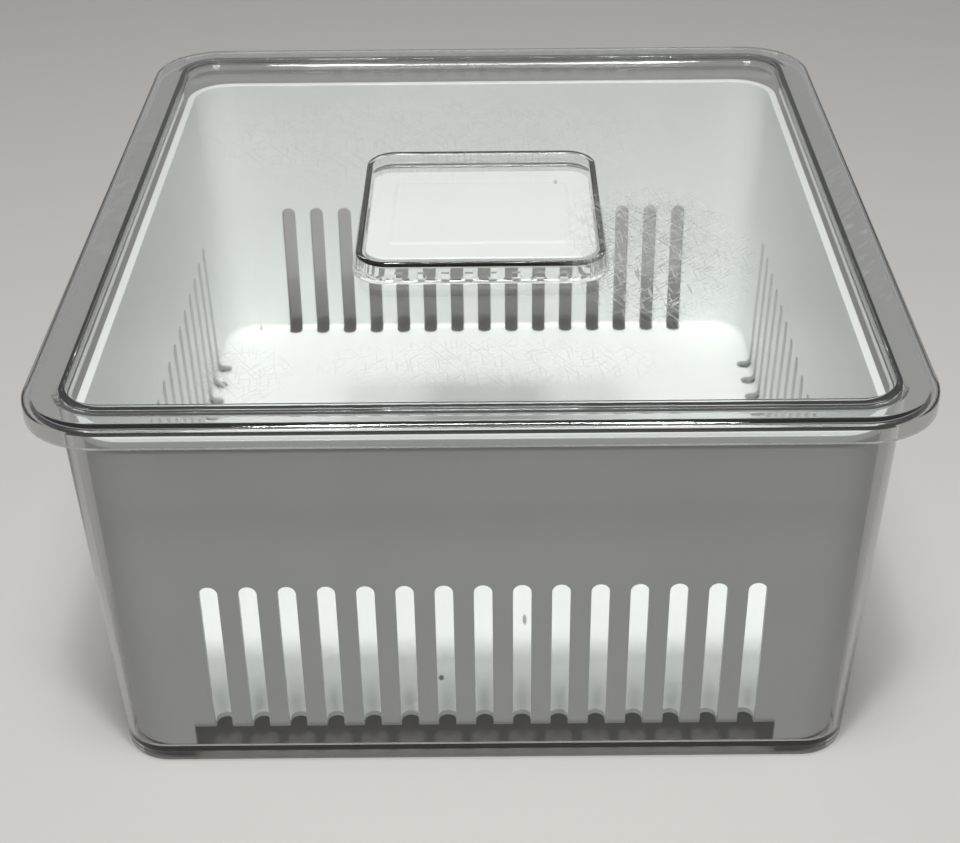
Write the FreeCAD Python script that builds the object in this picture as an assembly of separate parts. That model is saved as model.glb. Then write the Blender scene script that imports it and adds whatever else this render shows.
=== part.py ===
import FreeCAD, Part
import math
import os
from FreeCAD import Vector

# Covered food keeper: a clear bin, a white slotted basket standing in it and a clear lid with a raised
# vent housing. Millimetres, +X to the right, +Y to the back, +Z up, origin under the middle of the bin.

# Outline shared by the bin, the basket and the lid
lid_width = 272.0
depth_over_width = 32.6          # every piece is this much deeper than it is wide
lid_corner_radius = 25.5

# Bin
bin_height = 139.2               # table to the top of the mouth flange
bin_wall = 2.2
bin_draft_degrees = 2.28
bin_foot_height = 3.0            # rim under the floor that the bin stands on
bin_foot_width = 4.4
bin_floor_thickness = 2.7
bin_bottom_edge_radius = 2.0
bin_inside_edge_radius = 1.5
flange_reach = 6.9               # how far the mouth flange stands out from the wall
flange_thickness = 2.2
flare_radius = 3.6               # rounding from the inside wall out to the flange

# Lid
skirt_thickness = 1.9
skirt_height = 7.6
skirt_clearance = 1.1            # between the flange's edge and the skirt
lid_thickness = 2.2
lid_edge_radius = 2.8
recess_depth = 3.2               # the panel lies this far below the lid's rim
recess_edge_radius = 4.5         # under the panel's edge; the recess's foot inside follows it
recess_lip_radius = 0.35
nest_clearance = 0.3             # between the panel's rounded edge and the flared mouth

# Raised vent housing of the lid
housing_width = 84.0
housing_depth = 92.0
housing_centre_y = -11.6
housing_height = 6.5
housing_draft_degrees = 2.0
housing_corner_radius = 11.0
housing_wall = 2.2
housing_edge_radius = 1.0
housing_foot_radius = 1.2        # outside, where the wall turns into the panel in one even bend
vent_count = 8
vent_pitch = 7.83
vent_width = 2.65
vent_height = 2.4

# Vent plate held between the housing's side walls, with air gaps in front of it and behind it
plate_depth = 70.6
plate_centre_y = -8.4
plate_thickness = 2.0
plate_clearance = 0.3
plate_corner_radius = 8.0
plate_edge_radius = 0.5
emboss_side_margin = 8.0
emboss_end_margin = 10.3
emboss_height = 0.4
emboss_slope_width = 1.4         # the raised field's sloping border
emboss_corner_radius = 2.5

# Basket
basket_wall = 1.8
basket_floor_thickness = 1.9
basket_draft_degrees = 1.64
basket_rim_drop = 9.7            # from the top of the flange down to the basket's rim
basket_rim_clearance = 0.9       # between the rim and the bin's inside wall
basket_lip = 1.0
basket_lip_height = 2.4
basket_lip_edge_radius = 0.4
basket_rim_corner_radius = 17.0
basket_foot_height = 6.6         # clear height under the basket's floor
basket_foot_edge_radius = 1.6
basket_bottom_edge_radius = 4.0
slot_width = 5.8
slot_top_height = 58.8           # from the basket's floor to the top of a slot
slot_floor_reach = 5.7           # how far a slot runs from the wall into the floor
slots_per_wall = 15
front_slot_margin = 34.2         # last slot's middle to the basket's side, at the slot's top
side_slot_margin = 40.7
foot_from_slot = 9.8             # last slot's middle to the end of a corner foot

# Heights worked out from the sizes above
flange_underside = bin_height - flange_thickness
flare_centre_height = bin_height - flare_radius
bin_floor_top = bin_foot_height + bin_floor_thickness
lid_top = bin_height + lid_thickness
panel_top = lid_top - recess_depth
panel_underside = panel_top - lid_thickness
skirt_bottom = lid_top - skirt_height
housing_top = panel_top + housing_height
basket_rim_top = bin_height - basket_rim_drop
basket_floor_underside = bin_floor_top + basket_foot_height
basket_floor_top = basket_floor_underside + basket_floor_thickness
slot_top = basket_floor_top + slot_top_height

# Half widths worked out from the lid inwards
bin_slope = math.tan(math.radians(bin_draft_degrees))
basket_slope = math.tan(math.radians(basket_draft_degrees))
housing_slope = math.tan(math.radians(housing_draft_degrees))
lid_half = lid_width / 2
flange_half = lid_half - skirt_thickness - skirt_clearance
flange_corner = lid_corner_radius - skirt_thickness - skirt_clearance
mouth_half = flange_half - flange_reach
bin_corner = flange_corner - flange_reach
overcut = 2.0                    # how far a cutting body passes the face it starts from
slot_cutter_length = 9.0         # passes the leaning wall and its rounded bottom edge
basket_corner = basket_rim_corner_radius - basket_lip
same = 1e-4                      # edges this close to a height count as lying at it


def bin_outside(height):
    """Half width of the bin's outside at a height."""
    return mouth_half - (flare_centre_height - height) * bin_slope


def bin_inside(height):
    return bin_outside(height) - bin_wall


basket_rim_half = bin_inside(basket_rim_top) - basket_rim_clearance


def basket_outside(height):
    """Half width of the basket's wall, without its lip, at a height."""
    return basket_rim_half - basket_lip - (basket_rim_top - height) * basket_slope


def basket_inside(height):
    return basket_outside(height) - basket_wall


def rounded_rectangle(half_x, half_y, radius, height, centre_y=0.0):
    """Level closed outline with four round corners."""
    corners = []
    for number, (side_x, side_y) in enumerate(((1, 1), (-1, 1), (-1, -1), (1, -1))):
        centre = Vector(side_x * (half_x - radius), centre_y + side_y * (half_y - radius), height)
        angles = [math.radians(90 * number + turn) for turn in (0, 45, 90)]
        corners.append([centre + Vector(math.cos(a), math.sin(a), 0) * radius for a in angles])
    edges = []
    for points, following in zip(corners, corners[1:] + corners[:1]):
        edges.append(Part.Arc(*points).toShape())
        edges.append(Part.makeLine(points[2], following[0]))
    return Part.Wire(edges)


def keeper_outline(half, radius, height):
    """Outline in the proportions that the bin, the basket and the lid share."""
    return rounded_rectangle(half, half + depth_over_width / 2, radius, height)


def upright_block(outline, height):
    return Part.Face(outline).extrude(Vector(0, 0, height))


def straight_block(half, radius, low, high):
    return upright_block(keeper_outline(half, radius, low), high - low)


def drafted_block(low_x, low_y, high_x, high_y, radius, low, high):
    """Block of four leaning sides from half widths at its bottom and top, its upright edges rounded."""
    wedge = Part.makeWedge(-low_x, low, -low_y, -high_y, -high_x, low_x, high, low_y, high_y, high_x)
    wedge.rotate(Vector(0, 0, 0), Vector(1, 0, 0), 90)
    return wedge.makeFillet(radius, [edge for edge in wedge.Edges if edge.BoundBox.ZLength > same])


def wall_block(half_at, radius, low, high):
    """Drafted block in the shared proportions, its half width at each height given by a function."""
    more = depth_over_width / 2
    low_half = half_at(low)
    high_half = half_at(high)
    return drafted_block(low_half, low_half + more, high_half, high_half + more, radius, low, high)


def level_edges(shape, height, half):
    """Edges lying flat at a height, inside the shared outline of a half width."""
    half_y = half + depth_over_width / 2
    zone = FreeCAD.BoundBox(-half, -half_y, height, half, half_y, height)
    zone.enlarge(same)
    return [edge for edge in shape.Edges if zone.isInside(edge.BoundBox)]


def round_edges(shape, radius, height, half=lid_half):
    return shape.makeFillet(radius, level_edges(shape, height, half))


def make_bin():
    """Drafted bin on a foot rim, its wall flaring out at the mouth into a level flange."""
    outside = round_edges(wall_block(bin_outside, bin_corner, 0, bin_height), bin_bottom_edge_radius, 0)
    flange = straight_block(flange_half, flange_corner, flange_underside, bin_height)
    body = outside.fuse(flange).removeSplitter()
    body = round_edges(body, flare_radius - bin_wall, flange_underside, bin_outside(flange_underside))

    cavity = wall_block(bin_inside, bin_corner - bin_wall, bin_floor_top, bin_height + overcut)
    body = body.cut(round_edges(cavity, bin_inside_edge_radius, bin_floor_top))
    body = round_edges(body, flare_radius, bin_height, bin_inside(bin_height))

    recess_half = bin_outside(0) - bin_foot_width
    return body.cut(straight_block(recess_half, bin_corner - bin_foot_width, -overcut, bin_foot_height))


def panel_sizes():
    """Half width and corner radius of the recessed panel, which nests in the flared mouth."""
    flare_half = mouth_half - bin_wall + flare_radius
    apart = flare_radius + recess_edge_radius + nest_clearance
    rise = panel_underside + recess_edge_radius - flare_centre_height
    half = flare_half - math.sqrt(apart ** 2 - rise ** 2) + recess_edge_radius
    return half, lid_corner_radius - (lid_half - half)


def housing_block(inset, low, high):
    """Drafted block of the vent housing, its sides inset from the outer faces."""
    low_inset = inset + (low - panel_top) * housing_slope
    high_inset = inset + (high - panel_top) * housing_slope
    half_x = housing_width / 2
    half_y = housing_depth / 2
    solid = drafted_block(half_x - low_inset, half_y - low_inset, half_x - high_inset, half_y - high_inset,
                          housing_corner_radius - inset, low, high)
    solid.translate(Vector(0, housing_centre_y, 0))
    return solid


def make_vents():
    """Row of notches through the foot of the housing's front wall."""
    front = housing_centre_y - housing_depth / 2
    first = -(vent_count - 1) / 2 * vent_pitch
    notches = []
    for number in range(vent_count):
        corner = Vector(first + number * vent_pitch - vent_width / 2, front - overcut, panel_top)
        notches.append(Part.makeBox(vent_width, housing_wall + 2 * overcut, vent_height, corner))
    return notches


def make_lid():
    """Lid with a skirt round the flange, a shallow recess and the raised vent housing."""
    block = straight_block(lid_half, lid_corner_radius, skirt_bottom, lid_top)
    shell = round_edges(block, lid_edge_radius, lid_top)
    hollow_half = lid_half - skirt_thickness
    hollow_corner = lid_corner_radius - skirt_thickness
    hollow = straight_block(hollow_half, hollow_corner, skirt_bottom - overcut, bin_height)
    shell = shell.cut(round_edges(hollow, lid_edge_radius - skirt_thickness, bin_height))

    half, corner = panel_sizes()
    panel = straight_block(half, corner, panel_underside, lid_top - recess_lip_radius)
    shell = shell.fuse(round_edges(panel, recess_edge_radius, panel_underside))
    recess_half = half - lid_thickness
    recess = straight_block(recess_half, corner - lid_thickness, panel_top, lid_top + overcut)
    recess = round_edges(recess, recess_edge_radius - lid_thickness, panel_top)
    shell = round_edges(shell.cut(recess), recess_lip_radius, lid_top, recess_half)

    housing = housing_block(0, panel_underside, housing_top)
    shell = shell.fuse(round_edges(housing, housing_edge_radius, housing_top))
    foot_half = housing_width / 2 + housing_foot_radius
    shell = round_edges(shell, housing_foot_radius, panel_top, foot_half)
    shell = shell.cut(housing_block(housing_wall, panel_underside - overcut, housing_top - housing_wall))
    shell = round_edges(shell, housing_foot_radius + housing_wall, panel_underside, foot_half)
    return shell.cut(make_vents())


def make_vent_plate():
    """White plate between the housing's side walls, with a raised field on top."""
    plate_top = panel_underside + plate_thickness
    shrink = housing_wall + (plate_top - panel_top) * housing_slope
    half_x = housing_width / 2 - shrink - plate_clearance
    half_y = plate_depth / 2
    outline = rounded_rectangle(half_x, half_y, plate_corner_radius, panel_underside, plate_centre_y)
    plate = round_edges(upright_block(outline, plate_thickness), plate_edge_radius, plate_top)

    field_x = half_x - emboss_side_margin
    field_y = half_y - emboss_end_margin
    sections = []
    for inset, height in ((0, plate_top), (emboss_slope_width, plate_top + emboss_height)):
        sections.append(rounded_rectangle(field_x - inset, field_y - inset, emboss_corner_radius, height,
                                          plate_centre_y))
    return plate.fuse(Part.makeLoft(sections, True, True)).removeSplitter()


def slot_cutter(half_span):
    """One slot for a wall whose inner face lies half_span behind it, cut from the front."""
    radius = slot_width / 2
    outer = -half_span + basket_wall - slot_cutter_length
    low = basket_floor_underside - overcut
    crown_centre = Vector(0, outer, slot_top - radius)
    corner = Vector(-radius, outer, low)
    straight = Part.makeBox(slot_width, slot_cutter_length, crown_centre.z - low, corner)
    crown = Part.makeCylinder(radius, slot_cutter_length, crown_centre, Vector(0, 1, 0))

    floor_height = basket_floor_top + basket_bottom_edge_radius - low
    end = -half_span + slot_floor_reach - radius
    foot = Part.makeBox(slot_width, end - outer, floor_height, corner)
    round_end = Part.makeCylinder(radius, floor_height, Vector(0, end, low))
    return straight.fuse([crown, foot, round_end])


def slot_rows():
    """Slots of all four walls, and the half length of the front and of the side rows."""
    bottom_half = basket_inside(basket_floor_top)
    top_half = basket_outside(slot_top)
    front_row = top_half - front_slot_margin
    side_row = top_half + depth_over_width / 2 - side_slot_margin
    walls = ((0, bottom_half + depth_over_width / 2, front_row), (90, bottom_half, side_row))
    slots = []
    for turn, half_span, row in walls:
        cutter = slot_cutter(half_span)
        pitch = 2 * row / (slots_per_wall - 1)
        for facing in (turn, turn + 180):
            for number in range(slots_per_wall):
                slot = cutter.copy()
                slot.translate(Vector(number * pitch - row, 0, 0))
                slot.rotate(Vector(0, 0, 0), Vector(0, 0, 1), facing)
                slots.append(slot)
    return slots, front_row, side_row


def make_feet(front_row, side_row):
    """Wall carried down below the floor at the four corners."""
    top = basket_floor_underside + basket_bottom_edge_radius
    ring = wall_block(basket_outside, basket_corner, bin_floor_top, top)
    ring = round_edges(ring, basket_foot_edge_radius, bin_floor_top)
    low = bin_floor_top - overcut
    ring = ring.cut(wall_block(basket_inside, basket_corner - basket_wall, low, top + overcut))
    height = top - bin_floor_top + 2 * overcut
    half_x = front_row + foot_from_slot
    half_y = side_row + foot_from_slot
    front_gap = Part.makeBox(2 * half_x, 2 * lid_width, height, Vector(-half_x, -lid_width, low))
    side_gap = Part.makeBox(2 * lid_width, 2 * half_y, height, Vector(-lid_width, -half_y, low))
    return ring.cut([front_gap, side_gap])


def make_basket():
    """White basket with slots that turn through the bottom edge, standing on four corner feet."""
    shell = wall_block(basket_outside, basket_corner, basket_floor_underside, basket_rim_top)
    shell = round_edges(shell, basket_bottom_edge_radius, basket_floor_underside)
    lip_bottom = basket_rim_top - basket_lip_height
    lip = straight_block(basket_rim_half, basket_rim_corner_radius, lip_bottom, basket_rim_top)
    slots, front_row, side_row = slot_rows()
    shell = shell.fuse([lip, make_feet(front_row, side_row)])
    inner_corner = basket_corner - basket_wall
    inner_radius = basket_bottom_edge_radius - basket_wall
    inside = wall_block(basket_inside, inner_corner, basket_floor_top, basket_rim_top + overcut)
    shell = shell.cut(round_edges(inside, inner_radius, basket_floor_top)).removeSplitter()
    shell = round_edges(shell, basket_lip_edge_radius, basket_rim_top)
    return shell.cut(slots)


os.makedirs("parts", exist_ok=True)
pieces = {
    "bin": make_bin(),
    "basket": make_basket(),
    "lid": make_lid(),
    "vent_plate": make_vent_plate(),
}
for name, shape in pieces.items():
    box = shape.optimalBoundingBox(False)
    size = (box.XLength, box.YLength, box.ZLength)
    print(name, "solids", len(shape.Solids), "valid", shape.isValid(), "volume", round(shape.Volume),
          "size", [round(length, 2) for length in size], "from", round(box.ZMin, 2), "to", round(box.ZMax, 2))
    shape.exportStep("parts/" + name + ".step")
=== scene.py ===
import math

import bmesh
import bpy
from mathutils import Matrix, Vector


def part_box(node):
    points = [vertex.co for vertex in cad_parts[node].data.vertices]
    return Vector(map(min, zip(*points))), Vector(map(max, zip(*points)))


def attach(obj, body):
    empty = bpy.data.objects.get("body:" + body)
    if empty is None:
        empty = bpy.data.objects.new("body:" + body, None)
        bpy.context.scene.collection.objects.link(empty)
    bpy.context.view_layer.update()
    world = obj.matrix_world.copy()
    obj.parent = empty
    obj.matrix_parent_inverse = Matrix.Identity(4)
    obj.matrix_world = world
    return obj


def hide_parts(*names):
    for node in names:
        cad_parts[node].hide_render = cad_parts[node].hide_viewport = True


bl_info = {
    "name": "Covered food keeper",
    "version": (1, 0, 0),
    "blender": (4, 5, 0),
    "location": "3D View > Sidebar > Keeper",
    "description": "A clear food keeper with a white drain basket and a clear vented lid",
    "category": "Object",
}

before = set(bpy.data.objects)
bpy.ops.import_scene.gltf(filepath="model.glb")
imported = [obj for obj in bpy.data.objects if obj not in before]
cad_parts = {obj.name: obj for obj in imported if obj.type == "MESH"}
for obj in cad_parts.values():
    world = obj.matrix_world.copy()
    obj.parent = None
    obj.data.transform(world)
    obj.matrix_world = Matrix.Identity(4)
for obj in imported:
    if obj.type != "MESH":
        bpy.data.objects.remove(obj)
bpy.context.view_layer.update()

MM = 0.001
AIR_FILM = 0.04 * MM      # air between two clear faces that touch, as between any two mouldings
RIM_HEIGHT = 135          # just under the top of the bin's rim, in millimetres
PANEL_HEIGHT = 138.1      # just under the top of the lid's panel, in millimetres
WELD = 1e-6               # corners closer than this are one corner, in metres
FLAT = math.radians(0.05)   # faces closer to one plane than this become one face
SHARP = math.radians(30)    # edges sharper than this stay crisp

# The picture's frame in pixels, and the camera found from the photograph's straight edges
PICTURE_WIDTH = 960
FOCAL_PIXELS = 1778.0
AXIS_PIXEL_X = 493.4
CAMERA_PLACE = Vector((3.7, -579.7, 410.4)) * MM
CAMERA_DOWN = math.radians(32.08)
CAMERA_ROLL = math.radians(0.493)
SENSOR_MM = 36.0
CAMERA_SEES = (0.01, 50)  # nearest and farthest, in metres

# Lamps: name, place and target in metres, size in metres and power in watts
KEY_SIZE, KEY_POWER = (0.16, 0.16), 9.1
SOFTBOXES = (
    ("key softbox left", (-0.2, -0.66, 1.57), (0, 0, 0.07), KEY_SIZE, KEY_POWER),
    ("key softbox right", (0.2, -0.66, 1.57), (0, 0, 0.07), KEY_SIZE, KEY_POWER),
    ("overhead softbox", (0, -0.4, 1.8), (0, 0, 0), (0.5, 0.3), 14.2),
)

FLOW_NOISE = (0.35, 0.65)     # where most of the flow marks' noise lies
GRAIN_NOISE = (0.3, 0.7)      # where most of the grain's noise lies
DIRT = "#55534f"          # dried dirt and lint
LINE_EDGE = 0.04          # how softly a scratch ends across its width, in steps of the noise
PATCH_CORE = 0.55         # share of a patch's reach that has its full strength

# Scratches of the clear plastic: angle in degrees, length and spacing in millimetres, share kept, curl
LID_SCRATCHES = (
    (-57, 24, 0.9, 0.28, 0),
    (48, 9, 0.7, 0.29, 0),
    (10, 8, 0.7, 0.30, 1.4),
    (95, 13, 0.8, 0.28, 0),
)
BIN_SCRATCHES = LID_SCRATCHES[1:2]    # the bin is rubbed along one direction
# Rubbed patches: middle and reach in x and y in millimetres, and strength
LID_PATCHES = (
    ((60, -38), (34, 56), 1.0),
    ((4, -112), (60, 17), 0.33),
    ((-71, -116), (16, 22), 0.28),
    ((-20, 60), (110, 60), 0.12),
)
BIN_PATCHES = (
    ((-128, 30), (12, 90), 0.6),
    ((128, -20), (12, 70), 0.5),
)
# Specks of dirt: middle and reach in x and y in millimetres, and strength
LID_SPECKS = (
    ((80.5, -7.0), (2.6, 1.6), 0.3),
    ((26.7, 6.2), (0.9, 1.1), 0.7),
)
BASKET_SPECKS = (
    ((-14.8, -110.8), (1.1, 1.7), 1.0),
    ((14.2, -79.5), (0.9, 3.6), 0.7),
    ((-102.0, 131.7), (1.0, 1.3), 0.7),
)


def linear(hex_colour):
    """sRGB hex, such as "#f0f2f1", as linear red, green, blue and alpha."""
    channels = []
    for start in (1, 3, 5):
        value = int(hex_colour[start:start + 2], 16) / 255
        channels.append(value / 12.92 if value <= 0.04045 else ((value + 0.055) / 1.055) ** 2.4)
    return (*channels, 1.0)


def add_node(tree, kind, values=None, links=None, **settings):
    """Adds a node: its settings, the values of its sockets and the sockets that feed it. A colour Mix node
    has its factor at socket 0, its two colours at 6 and 7, and its result at output 2."""
    node = tree.nodes.new(kind)
    for name, value in settings.items():
        setattr(node, name, value)
    for name, value in (values or {}).items():
        node.inputs[name].default_value = value
    for name, source in (links or {}).items():
        tree.links.new(source, node.inputs[name])
    return node


def new_material(name):
    """Node material with no nodes yet."""
    material = bpy.data.materials.new(name)
    material.use_nodes = True
    material.node_tree.nodes.clear()
    return material


class ClearPlasticSettings(bpy.types.PropertyGroup):
    tint: bpy.props.FloatVectorProperty(
        name="Tint", description="What the clear plastic lets through", subtype="COLOR", size=4,
        min=0, max=1, default=linear("#fcfdfd"))
    bends: bpy.props.FloatProperty(
        name="Refraction", description="Index of refraction of the moulding", default=1.57, min=1, max=2)
    roughness: bpy.props.FloatProperty(
        name="Roughness", description="Polish of the mould", subtype="FACTOR", default=0.02, min=0, max=1)
    scratch_tint: bpy.props.FloatVectorProperty(
        name="Scratch colour", description="Colour of the light that a scratch scatters", subtype="COLOR",
        size=4, min=0, max=1, default=linear("#c2c4c2"))
    scratch_depth: bpy.props.FloatProperty(
        name="Scratches", description="How much light a scratch scatters", subtype="FACTOR", default=0.34,
        min=0, max=1)
    scratch_roughness: bpy.props.FloatProperty(
        name="Scratch roughness", description="Roughness of the plastic in a scratch", subtype="FACTOR",
        default=0.2, min=0, max=1)


class WhitePlasticSettings(bpy.types.PropertyGroup):
    colour: bpy.props.FloatVectorProperty(
        name="Colour", description="Colour of the white plastic", subtype="COLOR", size=4,
        min=0, max=1, default=linear("#edf0ed"))
    roughness: bpy.props.FloatProperty(
        name="Roughness", description="Sheen of the mould's texture", subtype="FACTOR", default=0.38,
        min=0.1, max=0.9)
    roughness_spread: bpy.props.FloatProperty(
        name="Roughness spread", description="How far the grain changes the sheen either way",
        subtype="FACTOR", default=0.06, min=0, max=0.1)
    bends: bpy.props.FloatProperty(
        name="Refraction", description="Index of refraction of polypropylene", default=1.49, min=1, max=2)
    # Painted light: the plate is the same white plastic as the basket, but its colour is painted lighter to
    # stand in for the extra light it gets under the housing
    plate_colour_painted_lighter: bpy.props.FloatVectorProperty(
        name="Plate colour", description="Colour of the vent plate", subtype="COLOR", size=4,
        min=0, max=1, default=linear("#f6faf6"))
    flow_size: bpy.props.FloatProperty(
        name="Flow marks", description="Size of the cloudy flow marks in millimetres", default=45, min=1)
    flow_shade: bpy.props.FloatProperty(
        name="Flow shade", description="Lightness of the darker flow marks", subtype="FACTOR",
        default=0.965, min=0, max=1)
    grain_size: bpy.props.FloatProperty(
        name="Grain", default=0.5, min=0.05,
        description="Size of the mould's grain in millimetres, coarser than the real 0.1 so that it shows")
    grain_strength: bpy.props.FloatProperty(
        name="Grain strength", description="How much the grain bends the light", subtype="FACTOR",
        default=0.12, min=0, max=1)
    grain_depth: bpy.props.FloatProperty(
        name="Grain depth", description="Depth of the mould's grain in millimetres", default=0.05, min=0)


class StageSettings(bpy.types.PropertyGroup):
    floor_colour: bpy.props.FloatVectorProperty(
        name="Floor", description="Colour of the floor", subtype="COLOR", size=4,
        min=0, max=1, default=linear("#c8c6c2"))
    # Painted shade: the darker colour of the floor seen through clear plastic, standing in for the shade
    # behind the keeper
    painted_shade_through_plastic: bpy.props.FloatVectorProperty(
        name="Floor through plastic", description="Colour of the floor behind clear plastic", subtype="COLOR",
        size=4, min=0, max=1, default=linear("#92908c"))
    bounce_colour: bpy.props.FloatVectorProperty(
        name="Floor bounce", description="Colour of the floor for the light that it throws back",
        subtype="COLOR", size=4, min=0, max=1, default=linear("#7d7c7a"))
    fill: bpy.props.FloatProperty(
        name="Fill light", description="Light that the surroundings give", default=0.02, min=0)
    backdrop: bpy.props.FloatProperty(
        name="Backdrop", description="Brightness of the surroundings to the camera and in reflections",
        default=0.6, min=0)
    backdrop_through: bpy.props.FloatProperty(
        name="Backdrop through plastic", description="Brightness of the surroundings behind clear plastic",
        default=0.36, min=0)
    floor_size: bpy.props.FloatProperty(
        name="Floor size", description="Length of the square floor's side", unit="LENGTH", default=12.0,
        min=1)


def scratch_lines(tree, place, angle, length, spacing, amount, curl):
    """Fine lines, 1 on a line and 0 beside it: noise drawn out along one direction, kept near its peaks."""
    turned = add_node(tree, "ShaderNodeMapping", {
        "Rotation": (0, 0, math.radians(angle)), "Scale": (length * MM, spacing * MM, 1)},
        {"Vector": place}, vector_type="TEXTURE")
    grain = add_node(tree, "ShaderNodeTexNoise", {"Scale": 1.0, "Detail": 0.0, "Distortion": curl},
                     {"Vector": turned.outputs[0]}, noise_dimensions="2D")
    line = add_node(tree, "ShaderNodeMapRange", {"From Min": 1 - amount, "From Max": 1 + LINE_EDGE - amount},
                    {"Value": grain.outputs[0]})
    return line.outputs[0]


def worn_patch(tree, place, centre, reach, strength):
    """The strength in the middle of a rubbed patch, fading out to 0 at its reach; x and y in millimetres."""
    moved = add_node(tree, "ShaderNodeVectorMath", {1: (centre[0] * MM, centre[1] * MM, 0)}, {0: place},
                     operation="SUBTRACT")
    flat = add_node(tree, "ShaderNodeVectorMath", {1: (1 / (reach[0] * MM), 1 / (reach[1] * MM), 0)},
                    {0: moved.outputs[0]}, operation="MULTIPLY")
    away = add_node(tree, "ShaderNodeVectorMath", links={0: flat.outputs[0]}, operation="LENGTH")
    fade = add_node(tree, "ShaderNodeMapRange", {"From Min": 1.0, "From Max": PATCH_CORE, "To Max": strength},
                    {"Value": away.outputs["Value"]})
    return fade.outputs[0]


def join(tree, operation, sockets):
    """One value from several, such as their sum or their largest."""
    total = sockets[0]
    for socket in sockets[1:]:
        total = add_node(tree, "ShaderNodeMath", links={0: total, 1: socket}, operation=operation).outputs[0]
    return total


def add_dirt(tree, place, specks, shade, where=None):
    """The shade with specks of dirt on it."""
    dirt = join(tree, "MAXIMUM", [worn_patch(tree, place, *speck) for speck in specks])
    if where is not None:
        dirt = join(tree, "MULTIPLY", [dirt, where])
    return add_node(tree, "ShaderNodeMix", {7: linear(DIRT)}, {0: dirt, 6: shade.outputs[2]},
                    data_type="RGBA")


def clear_plastic(name, scratches, patches, above, specks=()):
    """Clear injection-moulded styrene acrylonitrile: glassy, its edges dark where light is turned back
    inside. Its outside, above the given height, is rubbed in patches, where fine scratches scatter the light
    and look whitish over dark places and grey over pale ones."""
    look = bpy.context.scene.keeper_clear
    material = new_material(name)
    tree = material.node_tree
    place = add_node(tree, "ShaderNodeTexCoord").outputs["Object"]
    lines = []
    for angle, length, spacing, amount, curl in scratches:
        lines.append(scratch_lines(tree, place, angle, length, spacing, amount, curl))
    height = add_node(tree, "ShaderNodeSeparateXYZ", links={"Vector": place}).outputs["Z"]
    top_side = add_node(tree, "ShaderNodeMath", {1: above * MM}, {0: height}, operation="GREATER_THAN")
    outside = top_side.outputs[0]
    worn = join(tree, "MAXIMUM", [worn_patch(tree, place, *patch) for patch in patches])
    rub = join(tree, "MULTIPLY", [join(tree, "MAXIMUM", lines), worn, outside])
    clear = add_node(tree, "ShaderNodeMapRange", {"To Min": 1.0, "To Max": 1 - look.scratch_depth},
                     {"Value": rub})
    polish = add_node(tree, "ShaderNodeMapRange", {
        "To Min": look.roughness, "To Max": look.scratch_roughness}, {"Value": rub})
    shade = add_node(tree, "ShaderNodeMix", {6: look.tint, 7: look.scratch_tint}, {0: rub}, data_type="RGBA")
    if specks:
        shade = add_dirt(tree, place, specks, shade, outside)
    plastic = add_node(tree, "ShaderNodeBsdfPrincipled", {"IOR": look.bends}, {
        "Base Color": shade.outputs[2], "Roughness": polish.outputs[0],
        "Transmission Weight": clear.outputs[0]})
    # Light for the white pieces inside passes straight through, less what both faces of a wall reflect away
    mirrored = add_node(tree, "ShaderNodeFresnel", {"IOR": look.bends})
    entered = add_node(tree, "ShaderNodeMath", {0: 1.0}, {1: mirrored.outputs[0]}, operation="SUBTRACT")
    left = add_node(tree, "ShaderNodeMath", {1: 2.0}, {0: entered.outputs[0]}, operation="POWER")
    side = add_node(tree, "ShaderNodeNewGeometry")
    share = join(tree, "MAXIMUM", [left.outputs[0], side.outputs["Backfacing"]])
    thin = add_node(tree, "ShaderNodeBsdfTransparent", links={"Color": share})
    path = add_node(tree, "ShaderNodeLightPath")
    passes = join(tree, "MAXIMUM", [path.outputs["Is Shadow Ray"], path.outputs["Is Diffuse Ray"]])
    mix = add_node(tree, "ShaderNodeMixShader", links={
        "Fac": passes, 1: plastic.outputs[0], 2: thin.outputs[0]})
    add_node(tree, "ShaderNodeOutputMaterial", links={"Surface": mix.outputs[0]})
    return material


def white_plastic(name, colour, specks=()):
    """White injection-moulded polypropylene: opaque and waxy, with the mould's fine spark-eroded grain and
    faint cloudy flow marks."""
    look = bpy.context.scene.keeper_white
    material = new_material(name)
    tree = material.node_tree
    place = add_node(tree, "ShaderNodeTexCoord").outputs["Object"]
    flow = add_node(tree, "ShaderNodeTexNoise", {
        "Scale": 1 / (look.flow_size * MM), "Detail": 1.0}, {"Vector": place})
    grain = add_node(tree, "ShaderNodeTexNoise", {"Scale": 1 / (look.grain_size * MM), "Detail": 0.0},
                     {"Vector": place})
    cloud = add_node(tree, "ShaderNodeMapRange", {"From Min": FLOW_NOISE[0], "From Max": FLOW_NOISE[1]},
                     {"Value": flow.outputs[0]})
    darker = [value * look.flow_shade for value in colour[:3]] + [1]
    tone = add_node(tree, "ShaderNodeMix", {6: darker, 7: colour}, {0: cloud.outputs[0]}, data_type="RGBA")
    if specks:
        tone = add_dirt(tree, place, specks, tone)
    sheen = add_node(tree, "ShaderNodeMapRange", {
        "From Min": GRAIN_NOISE[0], "From Max": GRAIN_NOISE[1],
        "To Min": look.roughness - look.roughness_spread, "To Max": look.roughness + look.roughness_spread},
        {"Value": grain.outputs[0]})
    relief = add_node(tree, "ShaderNodeBump", {
        "Strength": look.grain_strength, "Distance": look.grain_depth * MM}, {"Height": grain.outputs[0]})
    plastic = add_node(tree, "ShaderNodeBsdfPrincipled", {"IOR": look.bends}, {
        "Base Color": tone.outputs[2], "Roughness": sheen.outputs[0], "Normal": relief.outputs[0]})
    add_node(tree, "ShaderNodeOutputMaterial", links={"Surface": plastic.outputs[0]})
    return material


def dress(node, material):
    """Gives a CAD node's own object its material."""
    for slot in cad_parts[node].material_slots:
        slot.material = material


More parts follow.
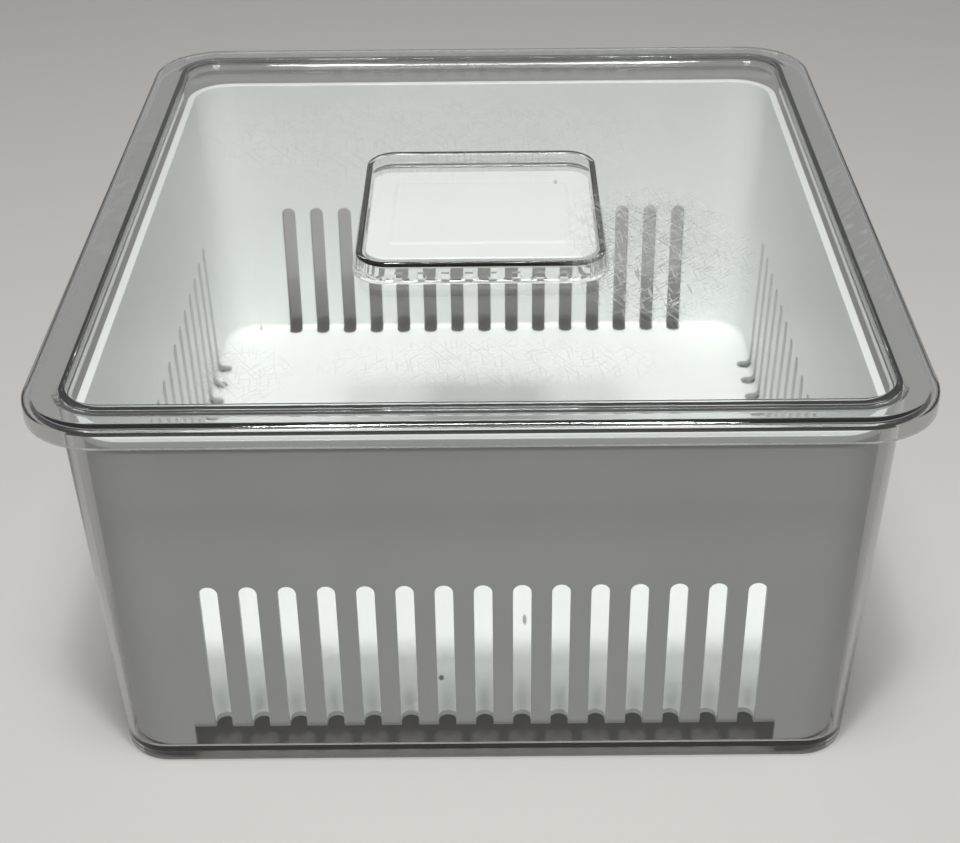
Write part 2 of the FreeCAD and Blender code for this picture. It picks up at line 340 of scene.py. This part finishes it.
def smooth_copy(node, name, body, material, top=None):
    """Copy of a CAD node with its triangles joined and its rounded edges shaded smooth. Where its top touches
    another clear piece, the top is lower by the film of air between them."""
    mesh = bpy.data.meshes.new(name)
    shape = bmesh.new()
    shape.from_mesh(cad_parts[node].data)
    bmesh.ops.remove_doubles(shape, verts=shape.verts, dist=WELD)
    if top is not None:
        for vert in shape.verts:
            vert.co.z = min(vert.co.z, top - AIR_FILM)
    bmesh.ops.dissolve_limit(shape, angle_limit=FLAT, verts=shape.verts, edges=shape.edges)
    shape.to_mesh(mesh)
    shape.free()
    for attribute in list(mesh.attributes):
        if "normal" in attribute.name:
            mesh.attributes.remove(attribute)
    mesh.materials.clear()
    mesh.materials.append(material)
    mesh.shade_smooth()
    mesh.set_sharp_from_angle(angle=SHARP)
    piece = bpy.data.objects.new(name, mesh)
    bpy.context.collection.objects.link(piece)
    normals = piece.modifiers.new("even normals", "WEIGHTED_NORMAL")
    normals.keep_sharp = True
    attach(piece, body)
    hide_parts(node)


class KEEPER_OT_bin(bpy.types.Operator):
    """Clear bin"""
    bl_idname = "keeper.bin"
    bl_label = "Bin"

    def execute(self, context):
        smooth_copy("bin", "clear_bin", "container",
                    clear_plastic("clear SAN of the bin", BIN_SCRATCHES, BIN_PATCHES, RIM_HEIGHT),
                    top=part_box("bin")[1].z)
        return {"FINISHED"}


class KEEPER_OT_basket(bpy.types.Operator):
    """White drain basket"""
    bl_idname = "keeper.basket"
    bl_label = "Basket"

    def execute(self, context):
        colour = context.scene.keeper_white.colour
        dress("basket", white_plastic("white PP of the basket", colour, BASKET_SPECKS))
        return {"FINISHED"}


class KEEPER_OT_lid(bpy.types.Operator):
    """Clear lid with its vent housing"""
    bl_idname = "keeper.lid"
    bl_label = "Lid"

    def execute(self, context):
        material = clear_plastic("clear SAN of the lid", LID_SCRATCHES, LID_PATCHES, PANEL_HEIGHT, LID_SPECKS)
        smooth_copy("lid", "clear_lid", "cover", material)
        return {"FINISHED"}


class KEEPER_OT_vent_plate(bpy.types.Operator):
    """White plate inside the vent housing"""
    bl_idname = "keeper.vent_plate"
    bl_label = "Vent plate"

    def execute(self, context):
        # The plate gets the lighter white, painted light on top of the basket's white plastic
        colour = context.scene.keeper_white.plate_colour_painted_lighter
        dress("vent_plate", white_plastic("white PP of the vent plate", colour))
        return {"FINISHED"}


def make_floor(stage):
    """Plain pale floor under the keeper."""
    mesh = bpy.data.meshes.new("floor")
    shape = bmesh.new()
    bmesh.ops.create_grid(shape, x_segments=1, y_segments=1, size=stage.floor_size / 2)
    shape.to_mesh(mesh)
    shape.free()
    floor = bpy.data.objects.new("floor", mesh)
    bpy.context.collection.objects.link(floor)
    material = new_material("matt floor paint")
    tree = material.node_tree
    # The floor looks pale, but where it is seen through the clear plastic it is painted darker, a painted
    # shade for the shaded floor behind the keeper; it also throws less light back up
    path = add_node(tree, "ShaderNodeLightPath")
    shown = add_node(tree, "ShaderNodeMix", {6: stage.floor_colour, 7: stage.painted_shade_through_plastic},
                     {0: path.outputs["Is Transmission Ray"]}, data_type="RGBA")
    tone = add_node(tree, "ShaderNodeMix", {7: stage.bounce_colour},
                    {0: path.outputs["Is Diffuse Ray"], 6: shown.outputs[2]}, data_type="RGBA")
    paint = add_node(tree, "ShaderNodeBsdfPrincipled", {"Roughness": 0.9, "Specular IOR Level": 0.2},
                     {"Base Color": tone.outputs[2]})
    add_node(tree, "ShaderNodeOutputMaterial", links={"Surface": paint.outputs[0]})
    mesh.materials.append(material)


def add_softbox(name, place, target, size, power):
    """Rectangular lamp that faces its target."""
    light = bpy.data.lights.new(name, "AREA")
    light.shape = "RECTANGLE"
    light.size, light.size_y = size
    light.energy = power
    lamp = bpy.data.objects.new(name, light)
    lamp.location = place
    lamp.rotation_euler = (Vector(target) - Vector(place)).to_track_quat("-Z", "Y").to_euler()
    bpy.context.collection.objects.link(lamp)


def make_world(stage):
    """Studio that lights the pieces softly, shows as a pale backdrop also in mirrored light, and a little
    darker through clear plastic."""
    world = bpy.data.worlds.new("studio")
    world.use_nodes = True
    tree = world.node_tree
    tree.nodes.clear()
    path = add_node(tree, "ShaderNodeLightPath")
    near = add_node(tree, "ShaderNodeMath", operation="MAXIMUM", links={
        0: path.outputs["Is Camera Ray"], 1: path.outputs["Is Glossy Ray"]})
    seen = add_node(tree, "ShaderNodeMapRange", {"To Min": stage.fill, "To Max": stage.backdrop},
                    {"Value": near.outputs[0]})
    level = add_node(tree, "ShaderNodeMapRange", {"To Max": stage.backdrop_through}, {
        "Value": path.outputs["Is Transmission Ray"], "To Min": seen.outputs[0]})
    shine = add_node(tree, "ShaderNodeBackground", {"Color": linear("#f4f5f5")},
                     {"Strength": level.outputs[0]})
    add_node(tree, "ShaderNodeOutputWorld", links={"Surface": shine.outputs[0]})
    bpy.context.scene.world = world


def make_camera():
    """Camera at the photograph's place and angle, with its slight roll."""
    data = bpy.data.cameras.new("camera")
    data.sensor_width = SENSOR_MM
    data.lens = FOCAL_PIXELS / PICTURE_WIDTH * SENSOR_MM
    data.shift_x = (PICTURE_WIDTH / 2 - AXIS_PIXEL_X) / PICTURE_WIDTH
    data.clip_start, data.clip_end = CAMERA_SEES
    forward = Vector((0, math.cos(CAMERA_DOWN), -math.sin(CAMERA_DOWN)))
    right = Vector((1, 0, 0))
    up = right.cross(forward)
    turned_right = right * math.cos(CAMERA_ROLL) - up * math.sin(CAMERA_ROLL)
    turned_up = right * math.sin(CAMERA_ROLL) + up * math.cos(CAMERA_ROLL)
    camera = bpy.data.objects.new("camera", data)
    turn = Matrix((turned_right, turned_up, -forward)).transposed().to_4x4()
    camera.matrix_world = Matrix.Translation(CAMERA_PLACE) @ turn
    bpy.context.collection.objects.link(camera)
    bpy.context.scene.camera = camera


class KEEPER_OT_stage(bpy.types.Operator):
    """Floor, lamps, world and camera"""
    bl_idname = "keeper.stage"
    bl_label = "Stage"

    def execute(self, context):
        make_floor(context.scene.keeper_stage)
        make_world(context.scene.keeper_stage)
        for softbox in SOFTBOXES:
            add_softbox(*softbox)
        make_camera()
        context.scene.view_settings.view_transform = "Standard"
        return {"FINISHED"}


class KEEPER_PT_panel(bpy.types.Panel):
    """Builds the keeper piece by piece"""
    bl_idname = "KEEPER_PT_panel"
    bl_label = "Covered food keeper"
    bl_space_type = "VIEW_3D"
    bl_region_type = "UI"
    bl_category = "Keeper"

    def draw(self, context):
        for settings in (context.scene.keeper_clear, context.scene.keeper_white, context.scene.keeper_stage):
            for name in settings.__annotations__:
                self.layout.prop(settings, name)
        for operator in OPERATORS:
            self.layout.operator(operator.bl_idname)


OPERATORS = (KEEPER_OT_bin, KEEPER_OT_basket, KEEPER_OT_lid, KEEPER_OT_vent_plate, KEEPER_OT_stage)
GROUPS = {
    "keeper_clear": ClearPlasticSettings,
    "keeper_white": WhitePlasticSettings,
    "keeper_stage": StageSettings,
}
CLASSES = (*GROUPS.values(), *OPERATORS, KEEPER_PT_panel)


def register():
    for cls in CLASSES:
        bpy.utils.register_class(cls)
    for name, group in GROUPS.items():
        setattr(bpy.types.Scene, name, bpy.props.PointerProperty(type=group))


def unregister():
    for name in GROUPS:
        delattr(bpy.types.Scene, name)
    for cls in reversed(CLASSES):
        bpy.utils.unregister_class(cls)


def main():
    register()
    bpy.ops.keeper.bin()
    bpy.ops.keeper.basket()
    bpy.ops.keeper.lid()
    bpy.ops.keeper.vent_plate()
    bpy.ops.keeper.stage()


if __name__ == "__main__":
    main()
